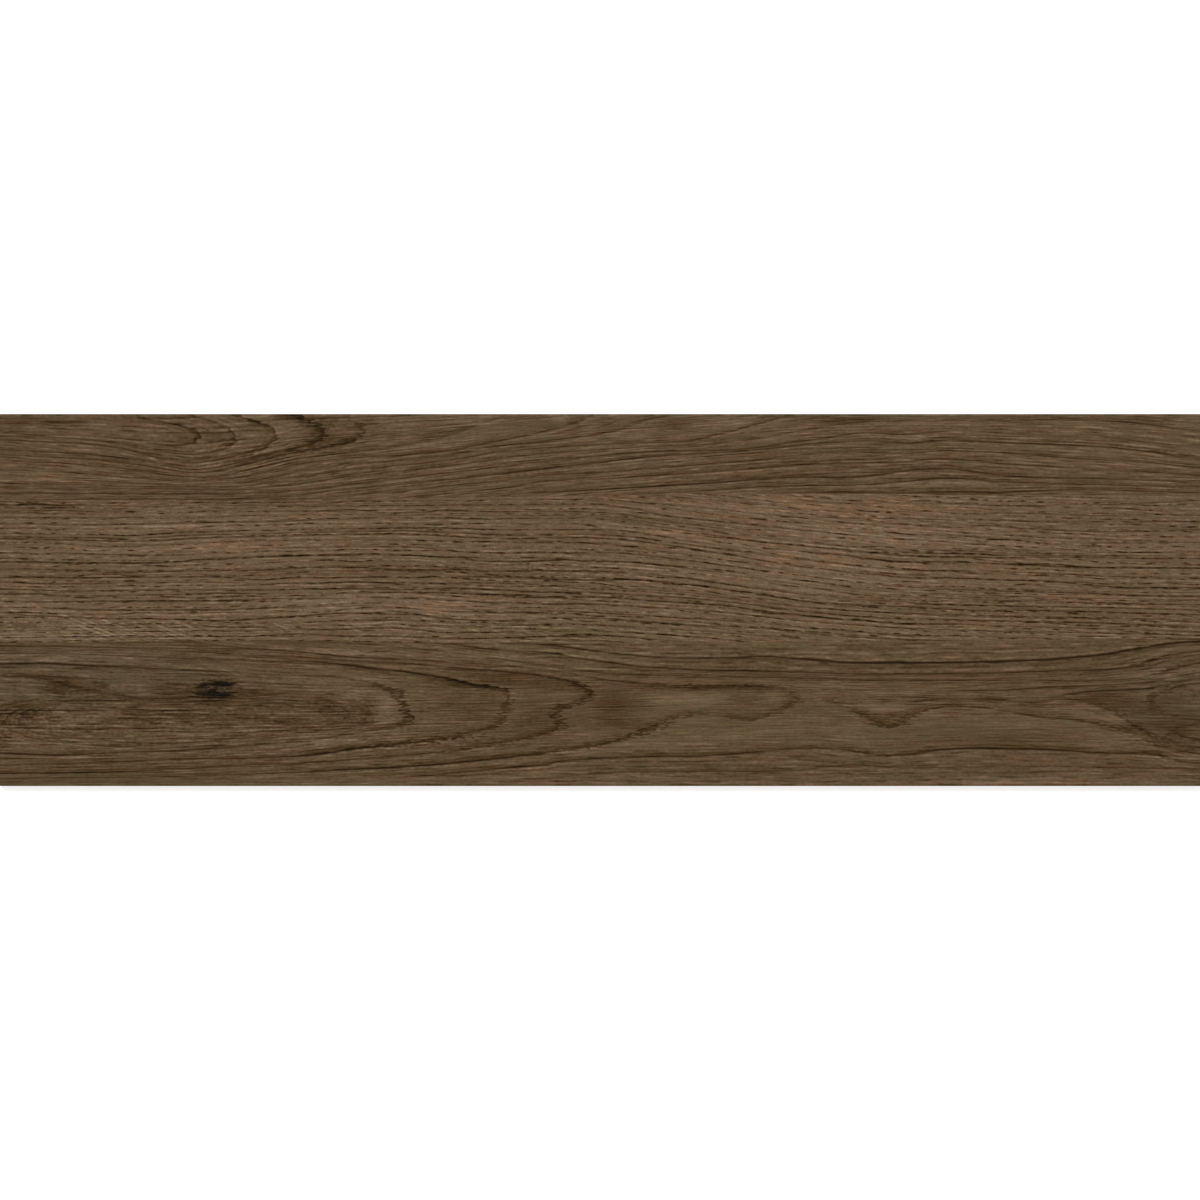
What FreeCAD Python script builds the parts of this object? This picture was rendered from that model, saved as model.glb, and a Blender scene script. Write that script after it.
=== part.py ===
"""A wood look porcelain plank tile, dry pressed and fired as one piece. Units are millimetres.

The frame has its origin at the centre of the footprint, on the plane that the back ribs bed on.
+X runs along the plank, +Y across it and +Z from the bed to the printed face.
"""

import FreeCAD, Part
import os

# Outline of the printed face and height over the ribs
FACE_LENGTH = 598.0
FACE_WIDTH = 185.0
THICKNESS = 8.0
CORNER_RADIUS = 0.8

# Edge: a rounded arris, a straight band that sets the joint, then a draft towards the back
ARRIS_RADIUS = 0.6
JOINT_BAND_HEIGHT = 4.4
BACK_SETBACK = 0.9

# Keying relief of the back: ribs that cross in a grid and stand proud of a plain border
KEY_HEIGHT = 0.8
BORDER_WIDTH = 10.0
RIB_WIDTH = 2.4
POCKET_PITCH = 14.8
WALL_SPREAD = 0.6


def rounded_outline(length, width, radius, height):
    """Closed wire of a rectangle with round corners, centred on the origin at a height."""
    x, y = length / 2, width / 2
    corners = [(x, y, 1, 1), (-x, y, -1, 1), (-x, -y, -1, -1), (x, -y, 1, -1)]
    slant = radius * (1 - 0.5**0.5)
    edges = []
    last = None
    for cx, cy, sx, sy in corners:
        along_y = FreeCAD.Vector(cx, cy - sy * radius, height)
        middle = FreeCAD.Vector(cx - sx * slant, cy - sy * slant, height)
        along_x = FreeCAD.Vector(cx - sx * radius, cy, height)
        start, end = (along_y, along_x) if sx == sy else (along_x, along_y)
        if last is not None:
            edges.append(Part.LineSegment(last, start).toShape())
        edges.append(Part.Arc(start, middle, end).toShape())
        last = end
    edges.append(Part.LineSegment(last, edges[0].Vertexes[0].Point).toShape())
    return Part.Wire(edges)


def tapered_block(length, width, height, spread):
    """Block on the bed whose four flat walls each spread outwards by this much on the way up."""
    x, y = length / 2, width / 2
    wedge = Part.makeWedge(
        -x, 0, -y, -y - spread, -x - spread, x, height, y, y + spread, x + spread
    )
    wedge.rotate(FreeCAD.Vector(), FreeCAD.Vector(1, 0, 0), 90)
    return wedge


def slab():
    """The plank above the border of its back: joint band with its arris, and the drafted foot."""
    band_bottom = THICKNESS - ARRIS_RADIUS - JOINT_BAND_HEIGHT
    outline = rounded_outline(FACE_LENGTH, FACE_WIDTH, CORNER_RADIUS, band_bottom)
    band = Part.Face(outline).extrude(FreeCAD.Vector(0, 0, THICKNESS - band_bottom))
    rim = [e for e in band.Edges if min(v.Z for v in e.Vertexes) > THICKNESS - ARRIS_RADIUS / 2]
    back_outline = rounded_outline(
        FACE_LENGTH - 2 * BACK_SETBACK, FACE_WIDTH - 2 * BACK_SETBACK, CORNER_RADIUS, KEY_HEIGHT
    )
    foot = Part.makeLoft([back_outline, outline], True, True)
    return band.makeFillet(ARRIS_RADIUS, rim).fuse(foot)


def keyed_back():
    """The block that carries the ribs, and the drafted pockets that leave them standing."""
    field = [size - 2 * (BACK_SETBACK + BORDER_WIDTH) for size in (FACE_LENGTH, FACE_WIDTH)]
    block = tapered_block(field[0], field[1], KEY_HEIGHT, WALL_SPREAD)
    counts = [max(1, round((size - RIB_WIDTH) / POCKET_PITCH)) for size in field]
    pitches = [(size - RIB_WIDTH) / count for size, count in zip(field, counts)]
    mouths = [pitch - RIB_WIDTH for pitch in pitches]
    pocket = tapered_block(mouths[0], mouths[1], KEY_HEIGHT, -WALL_SPREAD)
    pockets = []
    for column in range(counts[0]):
        for row in range(counts[1]):
            x = (column - (counts[0] - 1) / 2) * pitches[0]
            y = (row - (counts[1] - 1) / 2) * pitches[1]
            pockets.append(pocket.translated(FreeCAD.Vector(x, y, 0)))
    return block, Part.makeCompound(pockets)


def plank_tile():
    """The whole fired piece as one solid."""
    block, pockets = keyed_back()
    return slab().fuse(block).removeSplitter().cut(pockets).Solids[0]


def main():
    """Writes the tile's STEP file."""
    os.makedirs("parts", exist_ok=True)
    tile = plank_tile()
    tile.exportStep("parts/plank_tile.step")
    print("plank_tile: volume %.1f cm3, faces %d" % (tile.Volume / 1000, len(tile.Faces)))


main()
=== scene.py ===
"""Looks of the porcelain plank: embossed wood print on its face, glazed arris, plain body on its back.

The print is drawn from ring lines and grain lines read from the photograph, in its pixels.
"""

import bpy
import math
import numpy as np
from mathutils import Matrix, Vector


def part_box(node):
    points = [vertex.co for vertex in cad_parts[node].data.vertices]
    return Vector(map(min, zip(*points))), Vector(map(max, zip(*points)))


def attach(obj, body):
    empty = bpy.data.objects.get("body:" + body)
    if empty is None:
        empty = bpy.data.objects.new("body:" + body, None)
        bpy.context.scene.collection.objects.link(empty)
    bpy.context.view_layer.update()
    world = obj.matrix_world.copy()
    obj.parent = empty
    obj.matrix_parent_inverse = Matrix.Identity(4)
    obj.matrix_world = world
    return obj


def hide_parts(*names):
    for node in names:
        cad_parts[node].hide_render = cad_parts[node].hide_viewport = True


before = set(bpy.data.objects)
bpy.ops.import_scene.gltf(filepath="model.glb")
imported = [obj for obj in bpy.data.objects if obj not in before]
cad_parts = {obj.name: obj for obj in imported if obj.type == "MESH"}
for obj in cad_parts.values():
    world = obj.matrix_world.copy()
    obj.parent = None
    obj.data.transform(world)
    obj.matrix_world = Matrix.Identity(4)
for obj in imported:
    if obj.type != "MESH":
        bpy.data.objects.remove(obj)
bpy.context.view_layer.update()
high_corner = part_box("plank_tile")[1]

# Sizes of the plank in metres, as the frame and the part's source have them
HALF_LENGTH = high_corner.x
HALF_WIDTH = high_corner.y
THICKNESS = high_corner.z
MM = 0.001
CORNER = 0.8 * MM
ARRIS = 0.6 * MM
BAND_BOTTOM = 3.0 * MM
SETBACK = 0.9 * MM
KEY_HEIGHT = 0.8 * MM
BORDER = 10.0 * MM
RIB = 2.4 * MM
POCKET_PITCH = 14.8 * MM
SPREAD = 0.6 * MM

# Steps of the face's grid along the plank and across it
COLUMNS = 262
ROWS = 300

# Depths of the emboss, in millimetres
RING_GROOVE = 0.13
FIBRE_GROOVE = 0.05

# Scale of the photograph: its width in pixels, millimetres to a pixel, and the pixel at its middle
PHOTO_WIDTH = 1200
PIXEL = 2000 * HALF_LENGTH / PHOTO_WIDTH
MIDDLE = PHOTO_WIDTH / 2

# How the ring lines are read: pixels between the points set along a line, pixels that count as one
# along and down, how loosely the ring numbers hold to the points, and how far a point's darkness goes
RING_STEP = 20
PLATE_SCALE = np.array([500.0, 100.0])
PLATE_SLACK = 3e-4
DARK_REACH = np.array([0.04, 0.024])

# Growth rings of the upper stave: ring number, then points along its line, and how dark in tenths
UPPER_RINGS = [
    (9, [(0, 424, 5), (60, 424, 6), (110, 426, 2), (150, 428, 2)]),
    (8, [(60, 434, 1), (110, 437, 2), (150, 444, 5), (170, 446, 9), (188, 445, 11), (199, 441, 12),
         (201, 435, 12), (196, 430, 10), (184, 427, 9), (166, 423, 8), (150, 420, 5)]),
    (7, [(0, 436, 7), (60, 438, 7), (105, 441, 5), (140, 448, 5), (162, 452, 6), (185, 455, 6),
         (208, 454, 8), (224, 450, 10), (235, 443, 11), (237, 436, 12), (232, 430, 9), (220, 424, 8),
         (200, 418, 8)]),
    (6, [(0, 440, 7), (45, 442, 7), (85, 444, 7), (120, 448, 8), (150, 455, 8), (168, 461, 8),
         (192, 464, 8), (215, 461, 8), (240, 455, 9), (262, 449, 11), (275, 442, 12), (277, 435, 11),
         (270, 428, 12), (255, 422, 16), (240, 417, 14)]),
    (5, [(0, 450, 8), (40, 452, 8), (85, 455, 8), (120, 458, 8), (150, 463, 7), (170, 467, 7),
         (192, 470, 8), (212, 469, 9), (232, 465, 11), (252, 460, 14), (275, 454, 13), (300, 448, 12),
         (318, 442, 12), (326, 434, 13), (320, 425, 14), (300, 418, 14)]),
    (4, [(0, 455, 6), (50, 457, 7), (100, 460, 9), (150, 466, 9), (178, 472, 8), (200, 474, 7),
         (222, 470, 8), (246, 464, 12), (268, 458, 14), (300, 452, 13), (330, 447, 13), (350, 443, 12),
         (362, 436, 9), (364, 428, 8), (350, 420, 5)]),
    (3, [(0, 462, 5), (60, 463, 6), (100, 467, 6), (150, 472, 7), (180, 477, 7), (212, 478, 7),
         (240, 473, 8), (268, 466, 8), (300, 459, 6), (340, 454, 6), (380, 449, 7), (410, 444, 7),
         (440, 438, 6), (460, 432, 6), (476, 425, 5), (500, 418, 4)]),
    (2, [(0, 470, 5), (60, 472, 7), (110, 476, 7), (160, 480, 6), (210, 481, 5), (240, 478, 7),
         (268, 472, 7), (300, 464, 7), (350, 458, 6), (400, 456, 10), (450, 451, 11), (500, 441, 8),
         (540, 433, 8), (570, 425, 8), (590, 417, 6)]),
    (1, [(0, 477, 3), (60, 479, 3), (110, 482, 5), (160, 485, 7), (210, 485, 6), (245, 483, 6),
         (275, 477, 7), (300, 471, 7), (350, 464, 6), (400, 461, 6), (450, 456, 8), (490, 447, 8),
         (540, 442, 8), (590, 436, 8), (620, 430, 9), (645, 420, 6)]),
    (0, [(0, 483, 6), (60, 485, 8), (120, 487, 7), (180, 487, 7), (240, 487, 6), (280, 482, 7),
         (310, 476, 8), (350, 470, 7), (400, 466, 6), (450, 460, 5), (500, 452, 7), (545, 448, 7),
         (600, 445, 8), (645, 443, 6), (690, 442, 7), (712, 436, 9), (732, 431, 9), (752, 426, 8),
         (775, 419, 8)]),
    (-1, [(0, 488, 6), (80, 489, 8), (160, 489, 7), (240, 490, 6), (290, 486, 6), (340, 478, 8),
          (400, 471, 7), (450, 466, 6), (500, 459, 6), (550, 453, 7), (600, 450, 6), (650, 447, 6),
          (700, 445, 6), (750, 440, 7), (800, 431, 4), (860, 422, 8), (920, 421, 2), (1000, 421, 3),
          (1080, 419, 6), (1140, 424, 8), (1200, 432, 4)]),
    (-2, [(0, 493, 7), (80, 494, 8), (160, 494, 8), (240, 494, 7), (300, 491, 6), (350, 485, 7),
          (400, 479, 9), (450, 473, 7), (500, 467, 6), (550, 461, 7), (600, 456, 7), (650, 452, 8),
          (700, 451, 8), (720, 451, 10), (750, 449, 9), (800, 442, 8), (860, 433, 5), (900, 435, 11),
          (920, 434, 9), (940, 432, 4), (960, 431, 3), (1010, 434, 5), (1050, 437, 5), (1100, 438, 4),
          (1200, 448, 5)]),
    (-3, [(330, 492, 5), (380, 487, 6), (430, 482, 6), (480, 477, 10), (520, 472, 12), (560, 467, 12),
          (600, 463, 12), (630, 459, 11), (650, 457, 12), (690, 454, 7), (720, 453, 8), (760, 450, 9),
          (800, 445, 9), (845, 442, 7), (875, 441, 8), (900, 444, 11), (930, 442, 10), (950, 440, 9),
          (1000, 443, 10), (1050, 445, 10), (1100, 447, 9), (1150, 452, 10), (1170, 456, 8),
          (1200, 460, 8)]),
    (-4, [(400, 492, 6), (450, 486, 7), (500, 481, 6), (550, 475, 7), (600, 473, 8), (650, 469, 7),
          (700, 465, 6), (750, 461, 6), (800, 455, 6), (850, 452, 7), (900, 454, 6), (950, 451, 5),
          (1000, 453, 8), (1050, 457, 9), (1080, 459, 10), (1100, 460, 7), (1150, 463, 6), (1200, 468, 8)]),
    (-5, [(450, 494, 5), (500, 489, 9), (525, 485, 9), (550, 481, 6), (600, 479, 7), (650, 476, 8),
          (700, 473, 7), (750, 469, 7), (800, 465, 7), (850, 463, 7), (900, 463, 8), (930, 459, 8),
          (950, 459, 10), (1000, 464, 7), (1050, 467, 6), (1100, 470, 6), (1150, 472, 7), (1200, 476, 7)]),
    (-6, [(520, 494, 5), (560, 492, 8), (600, 490, 9), (650, 487, 12), (700, 484, 12), (750, 480, 12),
          (800, 477, 12), (850, 478, 10), (880, 475, 9), (910, 470, 11), (950, 469, 11), (1000, 476, 11),
          (1030, 478, 10), (1100, 479, 6), (1150, 481, 6), (1200, 483, 7)]),
    (-7, [(620, 496, 4), (700, 491, 5), (760, 487, 7), (800, 486, 7), (850, 486, 8), (900, 482, 9),
          (950, 478, 10), (1000, 482, 6), (1050, 484, 6), (1100, 485, 7), (1200, 487, 6)]),
    (-8, [(800, 493, 7), (840, 492, 11), (900, 494, 10), (950, 492, 12), (1000, 493, 11), (1030, 491, 9),
          (1060, 490, 9), (1100, 490, 8), (1200, 493, 7)]),
]

# Growth rings of the middle stave, cut along their length: the same
MIDDLE_RINGS = [
    (-4, [(760, 503, 3), (820, 503, 5), (860, 504, 4), (900, 503, 3), (1000, 506, 5), (1100, 505, 5),
          (1200, 501, 5)]),
    (-3, [(700, 501, 3), (760, 508, 3), (835, 511, 6), (895, 512, 5), (955, 511, 3), (980, 514, 5),
          (1000, 513, 7), (1050, 514, 4), (1100, 516, 5), (1200, 514, 4)]),
    (-2, [(640, 500, 3), (700, 507, 4), (750, 513, 4), (800, 517, 3), (840, 518, 7), (900, 519, 5),
          (960, 520, 5), (1000, 521, 7), (1050, 522, 4), (1100, 522, 7), (1200, 522, 6)]),
    (-1, [(600, 501, 4), (640, 503, 5), (700, 513, 5), (750, 519, 4), (800, 524, 2), (890, 524, 4),
          (920, 526, 6), (950, 528, 4), (990, 525, 9), (1010, 528, 9), (1050, 530, 8), (1100, 532, 6),
          (1200, 530, 7)]),
    (0, [(0, 505, 5), (15, 505, 9), (22, 505, 16), (38, 504, 19), (54, 506, 13), (70, 505, 6),
         (150, 507, 4), (200, 505, 4), (300, 506, 4), (400, 506, 8), (470, 505, 8), (510, 505, 5),
         (570, 505, 5), (600, 505, 5), (635, 509, 6), (660, 515, 6), (700, 520, 5), (735, 524, 4),
         (768, 527, 7), (800, 530, 2), (850, 532, 3), (885, 533, 7), (920, 535, 8), (960, 536, 7),
         (975, 538, 8), (1000, 539, 9), (1050, 541, 6), (1100, 543, 7), (1150, 543, 8), (1200, 543, 6)]),
    (1, [(0, 512, 8), (60, 511, 8), (100, 512, 7), (150, 512, 2), (270, 511, 4), (310, 511, 4),
         (350, 512, 4), (400, 513, 8), (450, 511, 9), (500, 512, 9), (540, 511, 7), (590, 512, 9),
         (620, 514, 9), (650, 520, 7), (690, 525, 7), (740, 531, 3), (800, 538, 2), (860, 544, 3),
         (910, 550, 6), (970, 551, 9), (1000, 553, 8), (1040, 554, 7), (1100, 553, 4), (1200, 552, 5)]),
    (2, [(0, 518, 4), (45, 518, 5), (95, 518, 6), (150, 518, 2), (250, 516, 2), (350, 515, 1),
         (500, 516, 1), (600, 516, 2), (700, 529, 3), (800, 542, 2)]),
    (3, [(0, 524, 8), (30, 524, 7), (50, 525, 3), (80, 525, 9), (100, 525, 8), (150, 524, 8), (200, 523, 7),
         (250, 522, 5), (270, 522, 6), (330, 519, 7), (390, 518, 8), (430, 518, 8), (460, 519, 9),
         (500, 519, 9), (545, 518, 10), (580, 518, 8), (625, 521, 8), (650, 525, 6), (680, 530, 5),
         (705, 534, 9), (750, 541, 9), (800, 546, 7), (850, 550, 7), (900, 556, 8), (960, 557, 10),
         (1000, 558, 9), (1050, 557, 9), (1100, 558, 7), (1200, 559, 5)]),
    (4, [(0, 534, 5), (85, 535, 5), (130, 536, 6), (150, 535, 7), (180, 532, 8), (200, 532, 8),
         (250, 531, 7), (280, 530, 5), (300, 529, 3), (345, 529, 6), (400, 528, 9), (440, 528, 9),
         (470, 529, 8), (505, 530, 7), (550, 530, 7), (600, 530, 8), (620, 531, 9), (640, 533, 9),
         (675, 539, 9), (700, 543, 2), (750, 549, 2), (800, 551, 7), (830, 554, 8), (850, 556, 9),
         (880, 560, 11), (900, 562, 12), (960, 562, 11), (1000, 564, 11), (1020, 565, 13), (1060, 567, 13),
         (1100, 568, 11), (1150, 568, 12), (1200, 568, 10)]),
    (5, [(780, 558, 3), (855, 566, 7), (900, 570, 4), (930, 571, 8), (970, 571, 8), (1030, 573, 7),
         (1080, 575, 8), (1110, 577, 7), (1200, 578, 8)]),
    (6, [(0, 539, 10), (60, 540, 10), (105, 541, 10), (130, 542, 8), (160, 541, 8), (200, 538, 8),
         (240, 537, 8), (270, 537, 5), (300, 536, 7), (350, 534, 8), (400, 534, 10), (430, 535, 11),
         (475, 538, 12), (510, 539, 11), (550, 538, 8), (590, 538, 8), (615, 539, 12), (635, 541, 11),
         (665, 545, 10), (680, 547, 10), (700, 550, 9), (735, 556, 8), (760, 560, 8), (800, 567, 9),
         (825, 569, 10), (845, 572, 11), (880, 575, 10), (905, 578, 11), (950, 578, 12), (1000, 580, 11),
         (1050, 581, 10), (1080, 584, 10), (1110, 587, 15), (1125, 588, 10), (1160, 588, 14),
         (1200, 588, 11)]),
    (7, [(0, 545, 3), (65, 544, 5), (100, 547, 7), (145, 547, 5), (165, 545, 5), (200, 543, 4),
         (270, 541, 4), (350, 540, 4), (450, 541, 5), (480, 542, 3), (540, 543, 8), (600, 543, 7),
         (650, 550, 4), (700, 556, 3), (750, 564, 3), (800, 574, 3), (820, 578, 6), (855, 583, 7),
         (890, 586, 6), (935, 589, 7), (1000, 591, 9), (1045, 592, 10), (1080, 593, 8), (1120, 595, 12),
         (1160, 596, 9), (1200, 596, 8)]),
    (8, [(0, 553, 7), (25, 553, 5), (65, 553, 4), (100, 554, 7), (145, 555, 7), (180, 552, 4),
         (210, 552, 4), (265, 549, 7), (300, 548, 8), (350, 547, 5), (400, 547, 8), (425, 548, 8),
         (450, 551, 7), (480, 553, 5), (520, 553, 4), (600, 553, 9), (620, 553, 9), (650, 556, 8),
         (700, 562, 8), (750, 569, 6), (800, 580, 2), (850, 588, 3), (900, 592, 3), (1000, 596, 4),
         (1100, 599, 4), (1200, 600, 4)]),
    (9, [(0, 562, 11), (45, 562, 11), (60, 563, 10), (90, 563, 10), (100, 563, 12), (165, 563, 12),
         (200, 560, 10), (235, 558, 10), (255, 557, 8), (300, 556, 12), (340, 555, 10), (380, 554, 12),
         (400, 555, 10), (440, 557, 8), (460, 558, 7), (480, 561, 8), (520, 562, 10), (555, 560, 12),
         (600, 562, 10), (620, 562, 9), (640, 563, 10), (680, 567, 10), (700, 570, 6), (750, 576, 3),
         (800, 585, 3), (830, 591, 7), (845, 593, 11), (860, 595, 11), (900, 597, 6), (965, 599, 7),
         (1000, 601, 9), (1050, 601, 9), (1110, 603, 10), (1150, 604, 9), (1200, 605, 9)]),
    (10, [(0, 569, 5), (40, 569, 9), (75, 570, 8), (120, 573, 9), (200, 571, 8), (250, 571, 8),
          (300, 568, 8), (350, 567, 8), (400, 570, 10), (440, 570, 11), (455, 569, 11), (490, 572, 10),
          (530, 571, 9), (600, 571, 9), (650, 574, 6), (700, 580, 9), (735, 586, 9), (760, 589, 7),
          (800, 594, 5), (850, 599, 5), (900, 602, 8), (950, 605, 8), (1000, 606, 8), (1100, 608, 7),
          (1200, 610, 7)]),
    (11, [(0, 578, 5), (30, 577, 9), (90, 578, 10), (150, 577, 9), (190, 577, 9), (230, 577, 9),
          (250, 580, 12), (262, 580, 11), (290, 578, 8), (320, 578, 7), (390, 577, 10), (420, 578, 7),
          (450, 577, 8), (520, 577, 9), (560, 580, 10), (600, 580, 11), (640, 580, 11), (680, 584, 12),
          (700, 586, 12), (720, 589, 11), (755, 594, 14), (780, 597, 12), (800, 601, 12), (820, 603, 11),
          (855, 605, 10), (880, 606, 8), (905, 607, 11), (940, 609, 12), (990, 611, 9), (1010, 610, 11),
          (1060, 611, 11), (1100, 612, 12), (1200, 615, 8)]),
    (12, [(0, 582, 7), (45, 584, 8), (90, 584, 8), (130, 583, 4), (158, 583, 11), (200, 582, 8),
          (260, 584, 5), (300, 583, 5), (365, 582, 9), (400, 584, 11), (420, 584, 11), (450, 583, 5),
          (490, 583, 9), (520, 584, 5), (600, 587, 6), (650, 590, 6), (700, 594, 5), (750, 600, 6),
          (800, 607, 7), (850, 611, 7), (900, 613, 7), (1000, 616, 9), (1100, 618, 10), (1200, 620, 7)]),
    (13, [(0, 589, 9), (50, 590, 9), (70, 592, 10), (100, 591, 9), (150, 590, 6), (200, 590, 6),
          (280, 590, 8), (305, 589, 10), (345, 589, 11), (375, 589, 8), (400, 590, 9), (430, 589, 9),
          (450, 588, 11), (500, 590, 11), (530, 592, 11), (550, 592, 10), (600, 593, 9), (650, 596, 7),
          (700, 599, 8), (750, 604, 8), (800, 611, 9), (850, 616, 10), (900, 619, 9), (1000, 621, 9),
          (1050, 622, 10), (1100, 623, 10), (1200, 627, 7)]),
    (14, [(0, 594, 11), (45, 594, 11), (60, 596, 8), (100, 596, 9), (155, 595, 8), (170, 595, 11),
          (230, 593, 11), (260, 594, 8), (300, 593, 5), (350, 593, 5), (400, 592, 7), (450, 593, 12),
          (470, 594, 14), (500, 595, 18), (520, 595, 16), (550, 597, 12), (600, 597, 12), (630, 599, 14),
          (650, 601, 10), (675, 602, 14), (700, 604, 15), (730, 606, 14), (760, 611, 13), (800, 615, 13),
          (840, 619, 12), (870, 621, 12), (900, 624, 14), (925, 624, 14), (960, 624, 9), (1000, 626, 7),
          (1100, 629, 8), (1200, 632, 7)]),
    (15, [(0, 601, 4), (40, 602, 6), (110, 601, 10), (150, 601, 11), (200, 601, 11), (240, 600, 10),
          (290, 598, 8), (350, 599, 4), (400, 598, 4), (450, 600, 4), (480, 602, 8), (510, 603, 5),
          (540, 604, 9), (570, 604, 10), (600, 604, 7), (650, 607, 5), (700, 610, 5), (750, 615, 5),
          (800, 621, 6), (850, 625, 7), (900, 628, 7), (1000, 631, 6), (1100, 633, 8), (1200, 636, 6)]),
    (16, [(0, 608, 4), (30, 607, 6), (90, 610, 8), (130, 610, 10), (180, 610, 10), (230, 610, 11),
          (290, 607, 9), (350, 606, 3), (400, 606, 3), (450, 608, 3), (500, 612, 8), (530, 612, 10),
          (560, 611, 6), (600, 613, 10), (650, 616, 10), (680, 618, 10), (720, 620, 5), (770, 624, 6),
          (800, 627, 8), (850, 631, 8), (905, 636, 11), (950, 636, 5), (1000, 637, 5), (1200, 642, 5)]),
    (17, [(0, 613, 5), (40, 616, 7), (80, 617, 6), (120, 619, 8), (170, 619, 10), (190, 620, 14),
          (215, 621, 15), (240, 620, 10), (270, 618, 12), (300, 616, 11), (340, 613, 8), (390, 614, 10),
          (420, 615, 11), (450, 619, 9), (490, 621, 10), (520, 621, 9), (560, 618, 5), (600, 618, 9),
          (650, 622, 11), (690, 625, 12), (720, 626, 6), (770, 629, 6), (800, 633, 8), (850, 637, 8),
          (1200, 650, 4)]),
    (18, [(0, 625, 7), (30, 625, 7), (60, 627, 3), (130, 625, 8), (190, 625, 8), (230, 627, 8),
          (260, 626, 5), (330, 621, 6), (400, 620, 6), (450, 626, 5), (500, 626, 8), (550, 624, 7),
          (600, 625, 5), (650, 628, 5), (700, 631, 6), (780, 637, 7), (850, 643, 4), (1200, 657, 0)]),
    (19, [(0, 630, 5), (50, 630, 7), (100, 631, 5), (200, 632, 5), (300, 629, 6), (330, 630, 9),
          (370, 628, 11), (400, 628, 9), (450, 633, 6), (500, 632, 7), (600, 631, 5), (700, 637, 5),
          (800, 643, 4), (1200, 664, 0)]),
    (20, [(0, 636, 4), (110, 637, 8), (155, 637, 8), (200, 636, 8), (240, 637, 11), (270, 635, 11),
          (300, 634, 9), (350, 636, 5), (400, 636, 6), (450, 639, 6), (500, 638, 9), (560, 636, 10),
          (620, 636, 9), (680, 642, 3), (1200, 672, 0)]),
]

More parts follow.
